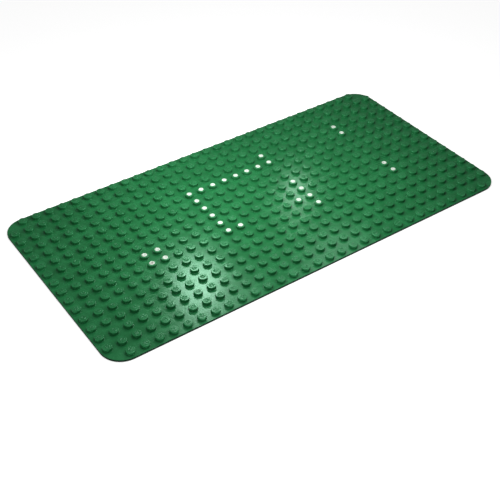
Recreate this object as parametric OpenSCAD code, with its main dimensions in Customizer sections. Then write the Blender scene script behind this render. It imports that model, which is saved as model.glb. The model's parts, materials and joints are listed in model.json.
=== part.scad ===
// Rectangular building plate: a thin moulded sheet with rounded corners and a
// square grid of round studs, some of them marked with printed white guide dots.
// Units are millimetres. The origin is the centre of the underside, X runs along
// the long side, Y along the short side and Z up.

/* [Stud grid] */
// Studs along the long side
studs_x = 32; // [24:1:44]
// Studs along the short side
studs_y = 16; // [12:1:24]
// Distance between neighbouring stud centres
pitch = 8; // [6.5:0.1:12]
// Diameter of a stud
stud_d = 4.8; // [4:0.1:6]
// Height of a stud above the sheet
stud_h = 1.8; // [1.2:0.1:2.4]

/* [Sheet] */
// Thickness of the sheet between the studs
sheet_t = 1.2; // [0.8:0.1:3.2]
// Distance from the outer stud centres to the edge of the sheet
edge_margin = 4; // [3.2:0.1:8]
// Radius of the four rounded corners
corner_r = 12; // [6:0.5:20]
// Least width of sheet left between a stud and a rounded corner
corner_land = 0.8; // [0.2:0.1:1.5]

/* [Coring under the studs] */
// Diameter of the blind recess under each stud
core_d = 3; // [1.5:0.1:3.6]
// Thickness of plastic left above each recess
roof_t = 1.2; // [0.9:0.1:1.6]

/* [Guide dots] */
// Bare rim left round a dot on its stud
dot_rim = 0.95; // [0.4:0.05:1.6]
// Thickness of the printed ink
ink_t = 0.05; // [0.04:0.01:0.2]

/* [Hidden] */
$fn = 48;
// Extra length that carries a cut through a face
through = 1;

plate_l = (studs_x - 1) * pitch + 2 * edge_margin;
plate_w = (studs_y - 1) * pitch + 2 * edge_margin;
stud_top = sheet_t + stud_h;
dot_d = stud_d - 2 * dot_rim;
core_depth = stud_top - roof_t;

// Dots are placed by whole studs, counted from the stud next to the middle
mid_col = floor(studs_x / 2);
mid_row = floor(studs_y / 2);

// Each group of dots shows where one thing is to be built: [columns, rows]
left_corner = [for (row = [-2 : -1], col = [-10 : -9]) [col, row]];
wall_back = [for (col = [-4 : 3]) [col, 3]];
wall_left = [for (row = [2 : -1 : -2]) [-4, row]];
wall_foot = [[-3, -2]];
step_back = [[3, 4]];
wall_right = [for (row = [0 : -1 : -3]) [3, row]];
step_foot = [[2, -2]];
far_posts = [for (row = [4, 3, -2, -3]) [10, row]];
dots = concat(left_corner, wall_back, wall_left, wall_foot,
              step_back, wall_right, step_foot, far_posts);

function two_digits(n) = n < 10 ? str("0", n) : str(n);
function dot_name(i) = str("guide_dot_", two_digits(i + 1));

function stud_x(col) = (col - (studs_x - 1) / 2) * pitch;
function stud_y(row) = (row - (studs_y - 1) / 2) * pitch;

// How far a stud centre lies beyond the centre of the nearest corner's arc
function past_arc_x(col) = abs(stud_x(col)) - (plate_l / 2 - corner_r);
function past_arc_y(row) = abs(stud_y(row)) - (plate_w / 2 - corner_r);

// A stud is left out where a rounded corner would cut it
function stands(col, row) =
    past_arc_x(col) <= 0 || past_arc_y(row) <= 0
    || norm([past_arc_x(col), past_arc_y(row)]) + stud_d / 2 + corner_land <= corner_r;

module at_each_stud() {
    for (col = [0 : studs_x - 1], row = [0 : studs_y - 1])
        if (stands(col, row))
            translate([stud_x(col), stud_y(row)]) children();
}

module sheet() {
    linear_extrude(sheet_t) {
        square([plate_l - 2 * corner_r, plate_w], center = true);
        square([plate_l, plate_w - 2 * corner_r], center = true);
        for (side = [-1, 1], end = [-1, 1])
            translate([end * (plate_l / 2 - corner_r), side * (plate_w / 2 - corner_r)])
                circle(corner_r);
    }
}

module baseplate() {
    color("seagreen")
    difference() {
        union() {
            sheet();
            at_each_stud() cylinder(h = stud_top, d = stud_d);
        }
        at_each_stud()
            translate([0, 0, -through]) cylinder(h = core_depth + through, d = core_d);
    }
}

module guide_dot(i) {
    color("ivory")
    translate([stud_x(mid_col + dots[i][0]), stud_y(mid_row + dots[i][1]), stud_top])
        cylinder(h = ink_t, d = dot_d);
}

baseplate();
for (i = [0 : len(dots) - 1])
    guide_dot(i);
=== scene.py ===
import json
import math
import random

import bpy
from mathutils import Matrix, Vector


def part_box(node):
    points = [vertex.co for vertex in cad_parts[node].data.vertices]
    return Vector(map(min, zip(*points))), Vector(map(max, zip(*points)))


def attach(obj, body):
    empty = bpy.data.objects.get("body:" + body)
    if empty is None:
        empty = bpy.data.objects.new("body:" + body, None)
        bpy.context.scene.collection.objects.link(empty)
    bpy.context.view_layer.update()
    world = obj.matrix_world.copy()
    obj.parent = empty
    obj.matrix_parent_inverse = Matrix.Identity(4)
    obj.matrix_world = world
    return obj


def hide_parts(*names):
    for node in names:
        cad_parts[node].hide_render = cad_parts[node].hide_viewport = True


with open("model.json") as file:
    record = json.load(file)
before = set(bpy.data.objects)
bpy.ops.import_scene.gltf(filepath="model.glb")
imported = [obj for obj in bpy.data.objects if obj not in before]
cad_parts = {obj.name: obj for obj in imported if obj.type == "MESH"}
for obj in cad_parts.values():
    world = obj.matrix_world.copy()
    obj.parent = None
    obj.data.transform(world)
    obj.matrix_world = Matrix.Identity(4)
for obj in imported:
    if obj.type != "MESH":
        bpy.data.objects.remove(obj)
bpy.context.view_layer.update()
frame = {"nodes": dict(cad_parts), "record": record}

MM = 0.001

# ---- Sizes taken from the frame ----
STUD_MOUNT = next(m for m in frame["record"]["mounts"] if m["name"] == "studs_centre")
PITCH = STUD_MOUNT["dims"]["spacing_x_mm"] * MM
STUD_R = STUD_MOUNT["dims"]["stud_r_mm"] * MM
SHEET_TOP = STUD_MOUNT["pos_m"][2]
PLATE_LOW, PLATE_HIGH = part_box("baseplate")
PLATE_MIDDLE = (PLATE_LOW + PLATE_HIGH) / 2
PLATE_L = PLATE_HIGH.x - PLATE_LOW.x
PLATE_W = PLATE_HIGH.y - PLATE_LOW.y
COLUMNS = round(PLATE_L / PITCH)
ROWS = round(PLATE_W / PITCH)
DOT_NODES = sorted(name for name in frame["nodes"] if name.startswith("guide_dot"))
LEFT_GROUP = 4

# ---- Sizes of the moulding's details ----
CORNER_R = 12 * MM
RECESS_R = 1.5 * MM
RECESS_DEPTH = 1.8 * MM
EDGE_ROUND = 0.12 * MM
LOWER_ROUND = 0.1 * MM
FOOT_ROUND = 0.15 * MM
RIM_ROUND = 0.22 * MM
# The plain raised ring on each stud's face stands level with the frame's stud top
MARK_H = 0.07 * MM
MARK_OUTER = 1.2 * MM
MARK_CREST = 0.95 * MM
MARK_INNER = 0.7 * MM
MARK_SLOPE = math.radians(50)
STUD_FACE = PLATE_HIGH.z - MARK_H
INK_SHOULDER = 0.06 * MM
# Each wave in a dot's outline is up to this share of its radius, and the waves go round this many times
DOT_WAVE = 0.01
DOT_WAVE_COUNTS = (2, 3, 5, 8, 13)

# ---- How finely the meshes are cut ----
SPLITS = 5
SIDES = 4 * SPLITS
MARK_SIDES = SIDES // 2
DOT_SIDES = 48

# ---- Slopes of a face's normal above the level ----
LEVEL, HALF_UP, UP = 0.0, math.pi / 4, math.pi / 2
# How far a rounded edge's middle lies from where its two faces would meet, as a share of its radius
BEND = 1 - math.sin(HALF_UP)

# ---- The flat map, which shows the upper side above the underside ----
MAP_NAME = "OFBake"
MAP_EDGE = 2.4 * MM
MAP_DEPTH = PLATE_W + 2 * MAP_EDGE
MAP_SIDE = max(PLATE_L + 2 * MAP_EDGE, 2 * MAP_DEPTH)
# How far from its stud's centre each ring is laid out, which spreads the upright walls over the map
MAP_FOOT = 3.4 * MM
MAP_WALL_FOOT = 3.25 * MM
MAP_WALL_TOP = 2.35 * MM
MAP_RIM = 2.15 * MM
MAP_FACE = 1.95 * MM
MAP_MARK_OUTER = 1.35 * MM
MAP_MARK_CREST = 1.05 * MM
MAP_MARK_INNER = 0.75 * MM
MAP_MOUTH = 2.4 * MM
MAP_ROOF = 1.3 * MM
# How far outside the sheet the rings of its side wall are laid out
MAP_LOW = 2.2 * MM
MAP_HIGH = 0.8 * MM
MAP_BEND = 0.4 * MM


def on_map(x, y, below=False):
    """The place on the flat map of a point in plan."""
    across = x - PLATE_LOW.x + MAP_EDGE
    along = y - PLATE_LOW.y + MAP_EDGE + (0 if below else MAP_DEPTH)
    return (across / MAP_SIDE, along / MAP_SIDE)


def tilted(angle, slope):
    """A normal that faces along angle in plan and rises by slope."""
    return (math.cos(angle) * math.cos(slope), math.sin(angle) * math.cos(slope), math.sin(slope))


def angles(count):
    """Directions to the corners of a ring, anticlockwise from the front left."""
    return [2 * math.pi * k / count - 3 * math.pi / 4 for k in range(count)]


class Corner:
    """A point as the faces on one side of an edge see it: its number, normal and place on the map."""

    def __init__(self, point, normal, place=(0, 0)):
        self.point = point
        self.normal = normal
        self.place = place


class Mesher:
    """Collects points and faces, and makes them into one piece.
    Each point holds values from 0 to 1 for the materials to read: how worn it is, and how strongly painted
    shade and painted glints show there."""

    def __init__(self):
        self.points = []
        self.faces = []
        self.wear_and_shade = {"rim": [], "crease": [], "edge": [], "mark": []}

    def add(self, place, **wear_and_shade):
        """Adds a point and gives its number."""
        self.points.append(place)
        for kind, values in self.wear_and_shade.items():
            values.append(wear_and_shade.get(kind, 0.0))
        return len(self.points) - 1

    def ring(self, centre, radius, height, slope, map_radius=0.0, count=SIDES, below=False, **wear_and_shade):
        """Corners round a centre. Below the sheet they are made to be seen from underneath."""
        made = []
        for angle in reversed(angles(count)) if below else angles(count):
            way = Vector((math.cos(angle), math.sin(angle)))
            place = centre + way * (radius(angle) if callable(radius) else radius)
            spot = centre + way * map_radius
            point = self.add((place.x, place.y, height), **wear_and_shade)
            made.append(Corner(point, tilted(angle, slope), on_map(spot.x, spot.y, below)))
        return made

    def join(self, lower, upper):
        """Quads between two closed rings with as many corners."""
        for k, corner in enumerate(lower):
            after = (k + 1) % len(lower)
            self.faces.append([corner, lower[after], upper[after], upper[k]])

    def join_halved(self, outer, inner):
        """Faces between a closed ring and one inside it with half as many corners."""
        for k, corner in enumerate(inner):
            first, middle, last = outer[2 * k], outer[2 * k + 1], outer[(2 * k + 2) % len(outer)]
            self.faces.append([first, middle, corner])
            self.faces.append([middle, last, inner[(k + 1) % len(inner)], corner])

    def close(self, ring):
        """One face across a closed ring."""
        self.faces.append(list(ring))

    def finish(self, name, material):
        """The piece, with its flat map, its values for worn places, painted shade and painted glints, and
        the normals that its corners ask for.
        """
        mesh = bpy.data.meshes.new(name)
        mesh.from_pydata(self.points, [], [[c.point for c in face] for face in self.faces])
        corners = [c for face in self.faces for c in face]
        places = mesh.uv_layers.new(name=MAP_NAME)
        places.uv.foreach_set("vector", [v for c in corners for v in c.place])
        for kind, values in self.wear_and_shade.items():
            mesh.attributes.new(kind, "FLOAT", "POINT").data.foreach_set("value", values)
        mesh.shade_smooth()
        mesh.normals_split_custom_set([c.normal for c in corners])
        mesh.materials.append(material)
        piece = bpy.data.objects.new(name, mesh)
        bpy.context.scene.collection.objects.link(piece)
        return piece


# ---- The sheet ----
def outline(x, y):
    """The rounded outline's nearest point to a point on the plain rectangle's edge, and the way out."""
    side = Vector((math.copysign(1, x - PLATE_MIDDLE.x), math.copysign(1, y - PLATE_MIDDLE.y)))
    arc = Vector((PLATE_L / 2 - CORNER_R, PLATE_W / 2 - CORNER_R))
    past = Vector((abs(x - PLATE_MIDDLE.x), abs(y - PLATE_MIDDLE.y))) - arc
    if min(past) > 0:
        way = past.normalized()
        return PLATE_MIDDLE.xy + (arc + way * CORNER_R) * side, way * side
    way = Vector((1, 0)) if past.x > past.y else Vector((0, 1))
    return Vector((x, y)), way * side


def edge_points():
    """The fine grid's places round the plate's edge, anticlockwise from the front left."""
    across, along = COLUMNS * SPLITS, ROWS * SPLITS
    yield from ((i, 0) for i in range(across))
    yield from ((across, j) for j in range(along))
    yield from ((i, along) for i in range(across, 0, -1))
    yield from ((0, j) for j in range(along, 0, -1))


def cell_points(column, row):
    """The fine grid's places round one cell, anticlockwise from its front left corner."""
    i, j = column * SPLITS, row * SPLITS
    yield from ((i + k, j) for k in range(SPLITS))
    yield from ((i + SPLITS, j + k) for k in range(SPLITS))
    yield from ((i + SPLITS - k, j + SPLITS) for k in range(SPLITS))
    yield from ((i, j + SPLITS - k) for k in range(SPLITS))


def grid_place(i, j):
    """The fine grid's place in plan, on the plain rectangle."""
    return PLATE_LOW.x + i * PITCH / SPLITS, PLATE_LOW.y + j * PITCH / SPLITS


class FlatSide:
    """The sheet's upper side or underside, whose cells share the corners of the fine grid."""

    def __init__(self, mesher, height, inset, below):
        self.mesher = mesher
        self.height = height
        self.inset = inset
        self.below = below
        self.corners = {}
        self.edge = set(edge_points())

    def corner(self, i, j):
        """The shared corner at one place of the fine grid."""
        if (i, j) not in self.corners:
            place = Vector(grid_place(i, j))
            if (i, j) in self.edge:
                place, way = outline(*place)
                place -= way * self.inset
            point = self.mesher.add((place.x, place.y, self.height))
            normal = tilted(0, -UP if self.below else UP)
            self.corners[i, j] = Corner(point, normal, on_map(place.x, place.y, self.below))
        return self.corners[i, j]

    def cell(self, column, row):
        return [self.corner(i, j) for i, j in cell_points(column, row)]

    def rim(self):
        return [self.corner(i, j) for i, j in edge_points()]


def wall_ring(mesher, inset, height, slope, map_out, **wear_and_shade):
    """A ring of corners round the plate's side wall."""
    made = []
    for i, j in edge_points():
        place, way = outline(*grid_place(i, j))
        spot = place + way * map_out
        place = place - way * inset
        point = mesher.add((place.x, place.y, height), **wear_and_shade)
        made.append(Corner(point, tilted(math.atan2(way.y, way.x), slope), on_map(spot.x, spot.y)))
    return made


def side_wall(mesher, upper, under):
    """The plate's edge, rounded above and below, from the underside up to the sheet."""
    # The edge values mark the side wall, which the plate's material paints dark as shade
    low = wall_ring(mesher, 0, LOWER_ROUND, LEVEL, MAP_LOW, edge=1.0)
    high = wall_ring(mesher, 0, SHEET_TOP - EDGE_ROUND, LEVEL, MAP_HIGH, edge=1.0)
    cut = EDGE_ROUND * BEND
    bend = wall_ring(mesher, cut, SHEET_TOP - cut, HALF_UP, MAP_BEND, edge=0.8)
    seen_below = []
    for corner, (i, j) in zip(low, edge_points()):
        place, way = outline(*grid_place(i, j))
        spot = place + way * MAP_EDGE / 4
        seen_below.append(Corner(corner.point, corner.normal, on_map(spot.x, spot.y, True)))
    mesher.join(under.rim(), seen_below)
    mesher.join(low, high)
    mesher.join(high, bend)
    mesher.join(bend, upper.rim())


# ---- The studs ----
def stud(mesher, square, centre):
    """A stud with a rounded foot and rim, inside its cell's square."""
    cut = RIM_ROUND * BEND
    rings = [
        square,
        # The crease values mark where the plate's material paints shade at the stud's foot
        mesher.ring(centre, STUD_R + FOOT_ROUND, SHEET_TOP, UP, MAP_FOOT, crease=0.8),
        mesher.ring(centre, STUD_R, SHEET_TOP + FOOT_ROUND, LEVEL, MAP_WALL_FOOT, crease=1.0),
        mesher.ring(centre, STUD_R, STUD_FACE - RIM_ROUND, LEVEL, MAP_WALL_TOP, rim=0.4),
        mesher.ring(centre, STUD_R - cut, STUD_FACE - cut, HALF_UP, MAP_RIM, rim=1.0),
        mesher.ring(centre, STUD_R - RIM_ROUND, STUD_FACE, UP, MAP_FACE, rim=0.2),
    ]
    for lower, upper in zip(rings, rings[1:]):
        mesher.join(lower, upper)
    raised_ring(mesher, centre, rings[-1])


def raised_ring(mesher, centre, face):
    """The plain raised ring on a stud's face, rounded over its crest."""
    # The mark values are where the plate's material paints shade specks and glints on the ring
    outer = mesher.ring(centre, MARK_OUTER, STUD_FACE, UP, MAP_MARK_OUTER, MARK_SIDES, mark=0.6)
    crest = mesher.ring(centre, MARK_CREST, PLATE_HIGH.z, UP, MAP_MARK_CREST, MARK_SIDES, mark=1.0)
    inner = mesher.ring(centre, MARK_INNER, STUD_FACE, UP, MAP_MARK_INNER, MARK_SIDES, mark=1.0)
    mesher.join_halved(face, outer)
    mesher.join(turned_to(outer, MARK_SLOPE), crest)
    mesher.join(crest, turned_to(inner, math.pi - MARK_SLOPE))
    mesher.close(inner)


def turned_to(ring, slope, below=False):
    """The same ring as the faces beyond a sharp edge see it."""
    ways = reversed(angles(len(ring))) if below else angles(len(ring))
    return [Corner(c.point, tilted(angle, slope), c.place) for c, angle in zip(ring, ways)]


def recess(mesher, square, centre):
    """The blind recess under a stud, inside its cell's square on the underside."""
    mouth = mesher.ring(centre, RECESS_R, 0, -UP, MAP_MOUTH, MARK_SIDES, below=True)
    roof = mesher.ring(centre, RECESS_R, RECESS_DEPTH, -UP, MAP_ROOF, MARK_SIDES, below=True)
    # Run clockwise, the square starts level with the first corner of a ring made below
    clockwise = square[-2::-1] + square[-1:]
    mesher.join_halved(clockwise, mouth)
    mesher.join(turned_to(mouth, math.pi, below=True), turned_to(roof, math.pi, below=True))
    mesher.close(roof)


def moulding(material):
    """The whole plate as one closed mesh."""
    mesher = Mesher()
    upper = FlatSide(mesher, SHEET_TOP, EDGE_ROUND, below=False)
    under = FlatSide(mesher, 0, LOWER_ROUND, below=True)
    for column in range(COLUMNS):
        for row in range(ROWS):
            above, beneath = upper.cell(column, row), under.cell(column, row)
            if column in (0, COLUMNS - 1) and row in (0, ROWS - 1):
                mesher.close(above)
                mesher.close(reversed(beneath))
                continue
            centre = PLATE_LOW.xy + Vector((column + 0.5, row + 0.5)) * PITCH
            stud(mesher, above, centre)
            recess(mesher, beneath, centre)
    side_wall(mesher, upper, under)
    return mesher.finish("baseplate_moulding", material)


# ---- The printed dots ----
def guide_dot(node, material, draw, thinned, worn):
    """A thin skin of ink with a slightly uneven outline, which follows the stud's raised ring.
    thinned is how far the ink has rubbed off the ring, and worn how far the dot's middle has worn brown."""
    low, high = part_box(node)
    ink = high.z - low.z
    radius = (high.x - low.x) / 2
    turn = 2 * math.pi
    waves = [(count, draw.uniform(0.0, DOT_WAVE), draw.uniform(0, turn)) for count in DOT_WAVE_COUNTS]
    largest = 1 + sum(size for _, size, _ in waves)

    def edge(angle):
        swing = sum(size * math.sin(count * angle + phase) for count, size, phase in waves)
        return radius * (1 + swing) / largest

    mesher = Mesher()
    centre = Vector((0, 0))
    face = -MARK_H

    def ring(size, height, slope, **wear_and_shade):
        return mesher.ring(centre, size, height, slope, count=DOT_SIDES, **wear_and_shade)

    bottom = ring(edge, face, LEVEL)
    rings = [
        bottom,
        ring(lambda a: edge(a) - INK_SHOULDER * BEND, face + ink * (1 - BEND), HALF_UP),
        ring(lambda a: edge(a) - INK_SHOULDER, face + ink, UP),
        ring(MARK_OUTER, face + ink, MARK_SLOPE, rim=0.4 * thinned),
        ring(MARK_CREST, ink, UP, rim=thinned),
        ring(MARK_INNER, face + ink, math.pi - MARK_SLOPE, rim=0.4 * thinned, mark=worn),
    ]
    for lower, upper in zip(rings, rings[1:]):
        mesher.join(lower, upper)
    mesher.close(rings[-1])
    mesher.close(reversed([Corner(c.point, tilted(0, -UP)) for c in bottom]))
    piece = mesher.finish("ink_" + node, material)
    piece.location = ((low.x + high.x) / 2, (low.y + high.y) / 2, low.z)
    return piece


# ---- Materials ----
class Shader:
    """A material with short calls to add its nodes."""

    def __init__(self, name):
        self.material = bpy.data.materials.new(name)
        self.material.use_nodes = True
        self.tree = self.material.node_tree
        self.surface = self.tree.nodes["Principled BSDF"]

    def feed(self, socket, value):
        """Links a socket to another node's result, or sets its own value."""
        if isinstance(value, bpy.types.NodeSocket):
            self.tree.links.new(value, socket)
        else:
            socket.default_value = value

    def node(self, kind, inputs, output=0, **settings):
        """Adds a node and gives one of its results."""
        made = self.tree.nodes.new("ShaderNode" + kind)
        for name, value in settings.items():
            setattr(made, name, value)
        for socket, value in inputs.items():
            self.feed(made.inputs[socket], value)
        return made.outputs[output]

    def noise(self, size, detail=2.0, roughness=0.5, stretch=(1, 1, 1), turn=0.0):
        """Noise whose features are about size across."""
        scaled = tuple(s / size for s in stretch)
        place = self.node("TexCoord", {}, "Object")
        vector = self.node("Mapping", {"Vector": place, "Scale": scaled, "Rotation": (0, 0, turn)})
        inputs = {"Vector": vector, "Scale": 1.0, "Detail": detail, "Roughness": roughness}
        return self.node("TexNoise", inputs, "Fac")

    def span(self, value, low, high, to_low=0.0, to_high=1.0):
        """Carries a value from one span to another, easing in and out."""
        return self.node("MapRange", {"Value": value, "From Min": low, "From Max": high,
                                      "To Min": to_low, "To Max": to_high}, interpolation_type="SMOOTHSTEP")

    def math(self, operation, first, second):
        return self.node("Math", {0: first, 1: second}, operation=operation)

    def mix(self, share, first, second):
        return self.node("Mix", {0: share, 6: first, 7: second}, 2, data_type="RGBA")

    def attribute(self, name):
        return self.node("Attribute", {}, "Fac", attribute_name=name)

    def bump(self, height, depth, normal=None):
        """The normal of a surface that rises by depth where height is 1."""
        inputs = {"Height": height, "Strength": 1.0, "Distance": depth}
        if normal is not None:
            inputs["Normal"] = normal
        return self.node("Bump", inputs, "Normal")

    def set(self, **sockets):
        for name, value in sockets.items():
            self.feed(self.surface.inputs[name.replace("_", " ")], value)


def plate_plastic():
    """Green moulded plastic with a satin gloss, mottling, handling scuffs and worn rims, with painted shade
    at the studs' feet and on the side wall, and painted shade specks and glints on the studs' raised rings.
    """
    # One darker green paints shade in the creases and on the raised rings, the brightest green paints
    # glints on the rings, and shade paints the side wall dark
    deep, light = (0.016, 0.19, 0.055, 1), (0.024, 0.24, 0.075, 1)
    shade_green, worn = (0.012, 0.13, 0.04, 1), (0.06, 0.33, 0.14, 1)
    glint_green, shade = (0.1, 0.5, 0.22, 1), (0.001, 0.014, 0.006, 1)
    green_sheen = (0.45, 1.0, 0.68, 1)
    swell_depth, speck_depth, grain_depth = 0.05 * MM, 0.1 * MM, 0.0015 * MM
    shader = Shader("plate_plastic")

    # The plastic's own colour, with painted shade in the creases at the studs' feet, and paler rims and
    # scuffs
    mottle = shader.noise(9 * MM, 3.0, 0.6)
    grain = shader.noise(0.5 * MM, 2.0, 0.6)
    scuffs = shader.math("MULTIPLY", shader.noise(3 * MM, 4.0, 0.65, (0.12, 6, 1), 0.5),
                         shader.noise(28 * MM, 2.0, 0.5))
    scuffed = shader.span(scuffs, 0.3, 0.42)
    colour = shader.mix(shader.span(mottle, 0.35, 0.68), deep, light)
    colour = shader.mix(shader.math("MULTIPLY", shader.attribute("crease"), 0.6), colour, shade_green)
    rim = shader.math("MULTIPLY", shader.attribute("rim"), shader.span(grain, 0.3, 0.7, 0.1, 0.55))
    pale = shader.math("MAXIMUM", rim, shader.math("MULTIPLY", scuffed, 0.12))
    colour = shader.mix(pale, colour, worn)

    # The sheet's side wall is painted dark as shade, and made dull
    edge = shader.attribute("edge")
    colour = shader.mix(edge, colour, shade)
    gloss = shader.span(mottle, 0.3, 0.7, 0.23, 0.29)
    gloss = shader.math("ADD", gloss, shader.math("MULTIPLY", scuffed, 0.08))
    gloss = shader.math("ADD", gloss, shader.math("MULTIPLY", edge, 0.3))
    sheen = shader.span(edge, 0.0, 1.0, 0.68, 0.1)

    # Darker specks painted as shade and lighter specks painted as glints on the raised rings
    mark = shader.attribute("mark")
    speck_noise = shader.noise(0.7 * MM, 1.0, 0.5)
    shade_specks = shader.math("MULTIPLY", mark, shader.span(speck_noise, 0.35, 0.65))
    colour = shader.mix(shader.math("MULTIPLY", shade_specks, 0.6), colour, shade_green)
    glint_noise = shader.noise(0.5 * MM, 1.0, 0.5, turn=1.0)
    painted_glints = shader.math("MULTIPLY", mark, shader.span(glint_noise, 0.55, 0.68))
    colour = shader.mix(shader.math("MULTIPLY", painted_glints, 0.35), colour, glint_green)

    normal = shader.bump(shader.noise(16 * MM, 1.0), swell_depth)
    normal = shader.bump(shade_specks, speck_depth, normal)
    normal = shader.bump(grain, grain_depth, normal)
    shader.set(Base_Color=colour, Roughness=gloss, Specular_IOR_Level=sheen, Normal=normal)
    shader.set(IOR=1.5, Specular_Tint=green_sheen)
    return shader.material


def dot_ink():
    """White ink, laid on unevenly, thinner on the raised ring and brown where a dot's middle is worn."""
    white, thin = (0.87, 1.0, 0.88, 1), (0.78, 0.93, 0.78, 1)
    bare, brown = (0.42, 0.55, 0.4, 1), (0.2, 0.09, 0.06, 1)
    ripple_depth = 0.004 * MM
    shader = Shader("dot_ink")
    patches = shader.noise(0.9 * MM, 3.0, 0.6)
    colour = shader.mix(shader.span(patches, 0.5, 0.75), white, thin)
    rubbed = shader.math("MULTIPLY", shader.attribute("rim"), shader.span(patches, 0.45, 0.6))
    colour = shader.mix(rubbed, colour, bare)
    colour = shader.mix(shader.math("MULTIPLY", shader.attribute("mark"), 0.5), colour, brown)
    normal = shader.bump(shader.noise(0.25 * MM), ripple_depth)
    shader.set(Base_Color=colour, Roughness=shader.span(patches, 0.3, 0.7, 0.42, 0.58), Normal=normal)
    return shader.material


def floor_paper():
    """White paper that also glows, so that it looks as white as the photo's background."""
    shader = Shader("floor_paper")
    shader.set(Base_Color=(0.93, 0.93, 0.93, 1), Roughness=0.9)
    shader.set(Emission_Color=(1, 1, 1, 1), Emission_Strength=0.75)
    return shader.material


# ---- The studio ----
# Half of the flat floor's side, half of the whole floor's side, and how far its border rises, in metres
FLAT_SIDE, FLOOR_SIDE, FLOOR_RISE = 4.0, 20.0, 0.4
# The photo's camera: lens and sensor in mm, angles in degrees, and its distance in mm from where it aims
LENS, SENSOR = 67.485, 36
CAMERA_AZIMUTH, CAMERA_ELEVATION = -35.01, 39.95
CAMERA_AIM = Vector((-28.1 * MM, -32.6 * MM, 2.9 * MM))
CAMERA_DISTANCE = 496.6
CLIP_START = 0.01
# How bright the surroundings are, against white paper at 1
WORLD_BRIGHTNESS = 0.17


def floor():
    """A wide flat floor, whose far border rises a little so that low views don't see past its end."""
    mesh = bpy.data.meshes.new("floor")
    corners = ((-1, -1), (1, -1), (1, 1), (-1, 1))
    points = [(x * FLAT_SIDE, y * FLAT_SIDE, 0) for x, y in corners]
    points += [(x * FLOOR_SIDE, y * FLOOR_SIDE, FLOOR_RISE) for x, y in corners]
    border = [(k, k + 4, (k + 1) % 4 + 4, (k + 1) % 4) for k in range(4)]
    mesh.from_pydata(points, [], [(0, 1, 2, 3)] + border)
    mesh.materials.append(floor_paper())
    piece = bpy.data.objects.new("floor", mesh)
    bpy.context.scene.collection.objects.link(piece)
    return piece


def towards(azimuth, elevation):
    """The way from the object to a viewer or lamp. Azimuth 0 is in front and 90 to the right."""
    a, e = math.radians(azimuth), math.radians(elevation)
    return Vector((math.sin(a) * math.cos(e), -math.cos(a) * math.cos(e), math.sin(e)))


def camera():
    """The camera at the photo's angle."""
    lens = bpy.data.cameras.new("camera")
    lens.lens = LENS
    lens.sensor_width = SENSOR
    lens.clip_start = CLIP_START
    piece = bpy.data.objects.new("camera", lens)
    back = towards(CAMERA_AZIMUTH, CAMERA_ELEVATION)
    piece.location = CAMERA_AIM + back * CAMERA_DISTANCE * MM
    piece.rotation_euler = back.to_track_quat("Z", "Y").to_euler()
    bpy.context.scene.collection.objects.link(piece)
    bpy.context.scene.camera = piece


def lamp(name, x, y, z, radius, brightness):
    """A small soft lamp, with its place and radius in mm.
    Its brightness is that of white paper at the plate's middle, facing the lamp."""
    light = bpy.data.lights.new(name, "POINT")
    light.shadow_soft_size = radius * MM
    piece = bpy.data.objects.new(name, light)
    piece.location = Vector((x, y, z)) * MM
    light.energy = brightness * (2 * math.pi * piece.location.length) ** 2
    bpy.context.scene.collection.objects.link(piece)


def studio():
    """Dim white surroundings and the lamps."""
    world = bpy.data.worlds.new("studio")
    world.use_nodes = True
    surroundings = world.node_tree.nodes["Background"]
    surroundings.inputs["Color"].default_value = (1, 1, 1, 1)
    surroundings.inputs["Strength"].default_value = WORLD_BRIGHTNESS
    bpy.context.scene.world = world
    lamp("lamp_over_right", 32, -32, 108, 22, 0.31)
    lamp("lamp_over_left", -62, -30, 140, 25, 0.27)
    lamp("lamp_low_left", -30, -10, 60, 22, 0.13)
    lamp("lamp_low_right", 56, -12, 66, 22, 0.1)
    lamp("lamp_behind", -22, 34, 76, 15, 0.4)
    lamp("lamp_far_right", 74, 59, 62, 8, 0.055)
    lamp("lamp_front_left", -700, -450, 380, 120, 0.09)
    bpy.context.scene.view_settings.view_transform = "Standard"


plastic = plate_plastic()
ink = dot_ink()
plate = moulding(plastic)
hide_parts("baseplate")
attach(plate, "root")

draw = random.Random(28)
for number, node in enumerate(DOT_NODES):
    # The first dots are the group at the left. They are rubbed the most, and the very first is worn brown
    thinned = 0.5 if number < LEFT_GROUP else 0.25
    worn = 1.0 if number == 0 else 0.0
    dot = guide_dot(node, ink, draw, thinned, worn)
    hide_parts(node)
    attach(dot, "root")

floor()
camera()
studio()
